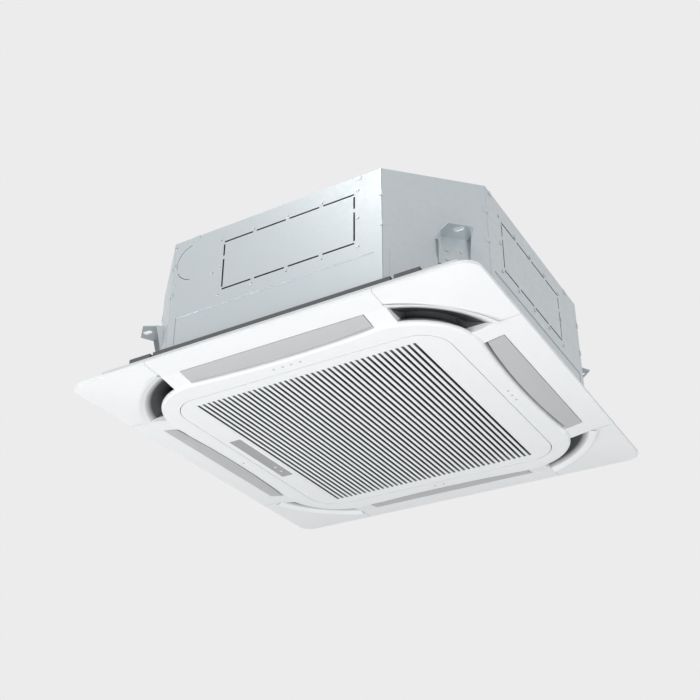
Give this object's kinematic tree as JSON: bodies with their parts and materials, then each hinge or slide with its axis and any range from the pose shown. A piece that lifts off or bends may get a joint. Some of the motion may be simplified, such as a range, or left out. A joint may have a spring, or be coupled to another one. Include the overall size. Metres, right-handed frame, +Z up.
{
  "type": "ceiling cassette fan coil unit",
  "caption": "Four-way ceiling cassette fan coil unit: square white panel with slatted hinged grille, louvres and corner outlets, under an octagonal galvanised steel casing.",
  "frame": {"origin": "centre of the panel at the ceiling plane, the upper face of the panel's rim", "axes": "+Z up into the ceiling, the front side (with the grille's latches) towards -Y, +X to the right seen from the front"},
  "size_m": [0.95, 0.95, 0.3505],
  "materials": {
    "panel_white": "satin",
    "louvre_grey": "satin",
    "sheet_steel": "spangled",
    "dark_plastic": "matt",
    "window_grey": "gloss",
    "lens": "gloss",
    "foam_grey": "matt",
    "foam_white": "matt",
    "fin_aluminium": "fine",
    "copper": "satin",
    "brass": "satin",
    "steel_zinc": "satin",
    "rubber": "matt",
    "filter_net": "matt",
    "board_green": "satin",
    "fan_plastic": "satin",
    "motor_black": "satin",
    "connector_beige": "matt"
  },
  "bodies": {
    "casing": {"top_plate": "sheet_steel", "base_frame": "sheet_steel", "hanger_brackets": "sheet_steel", "casing_screws": "steel_zinc", "insulation_liner": "foam_white", "drain_pan": "foam_white", "heat_exchanger": "fin_aluminium", "coil_end_plates": "sheet_steel", "return_bends": "copper", "coil_headers": "copper", "water_inlet": "brass", "water_outlet": "brass", "air_vent": "brass", "drain_pump": "dark_plastic", "drain_outlet": "dark_plastic", "float_switch": "connector_beige", "cable_grommet": "rubber", "bellmouth": "dark_plastic", "fan_motor": "motor_black", "motor_mounts": "rubber", "motor_bracket": "sheet_steel", "control_box": "sheet_steel", "control_box_cover": "sheet_steel", "control_board": "board_green", "terminal_block": "connector_beige", "air_sensor": "connector_beige", "panel_frame": "panel_white", "foam_strips": "foam_grey", "panel_screws": "steel_zinc", "louvre_bushes": "connector_beige", "louvre_motors": "motor_black", "front_right_corner_plate": "sheet_steel", "corner_cover_front_right": "panel_white", "back_right_corner_plate": "sheet_steel", "corner_cover_back_right": "panel_white", "back_left_corner_plate": "sheet_steel", "corner_cover_back_left": "panel_white", "front_left_corner_plate": "sheet_steel", "corner_cover_front_left": "panel_white", "front_side_panel": "sheet_steel", "right_side_panel": "sheet_steel", "back_side_panel": "sheet_steel", "left_side_panel": "sheet_steel"},
    "fan": {"fan_impeller": "fan_plastic", "motor_shaft": "steel_zinc", "fan_nut": "steel_zinc"},
    "grille": {"intake_grille": "panel_white", "grille_hinge_pins": "steel_zinc", "filter_frame": "dark_plastic", "filter_mesh": "filter_net", "display_window": "window_grey", "indicator_lenses": "lens", "display_board": "board_green"},
    "latch_left": {"latch_left": "panel_white"},
    "latch_right": {"latch_right": "panel_white"},
    "drain_float": {"drain_float": "connector_beige"},
    "louvre_front": {"louvre_front": "louvre_grey"},
    "louvre_right": {"louvre_right": "louvre_grey"},
    "louvre_back": {"louvre_back": "louvre_grey"},
    "louvre_left": {"louvre_left": "louvre_grey"}
  },
  "joints": [
    {"name": "fan_spin", "type": "hinge", "parent": "casing", "child": "fan", "pos_m": [0, 0, 0.2], "axis": [0, 0, 1], "continuous": true},
    {"name": "grille_drop", "type": "hinge", "parent": "casing", "child": "grille", "pos_m": [0, 0.296, -0.02], "axis": [1, 0, 0], "range_deg": [0, 45]},
    {"name": "float_rise", "type": "slide", "parent": "casing", "child": "drain_float", "axis": [0, 0, 1], "range_m": [0, 0.012]},
    {"name": "latch_left_slide", "type": "slide", "parent": "grille", "child": "latch_left", "axis": [0, 1, 0], "range_m": [0, 0.0042]},
    {"name": "latch_right_slide", "type": "slide", "parent": "grille", "child": "latch_right", "axis": [0, 1, 0], "range_m": [0, 0.0042]},
    {"name": "louvre_front_swing", "type": "hinge", "parent": "casing", "child": "louvre_front", "pos_m": [0, -0.3925, -0.006], "axis": [1, 0, 0], "range_deg": [0, 62]},
    {"name": "louvre_right_swing", "type": "hinge", "parent": "casing", "child": "louvre_right", "pos_m": [0.3925, 0, -0.006], "axis": [0, 1, 0], "range_deg": [0, 62]},
    {"name": "louvre_back_swing", "type": "hinge", "parent": "casing", "child": "louvre_back", "pos_m": [0, 0.3925, -0.006], "axis": [-1, 0, 0], "range_deg": [0, 62]},
    {"name": "louvre_left_swing", "type": "hinge", "parent": "casing", "child": "louvre_left", "pos_m": [-0.3925, 0, -0.006], "axis": [0, -1, 0], "range_deg": [0, 62]}
  ]
}
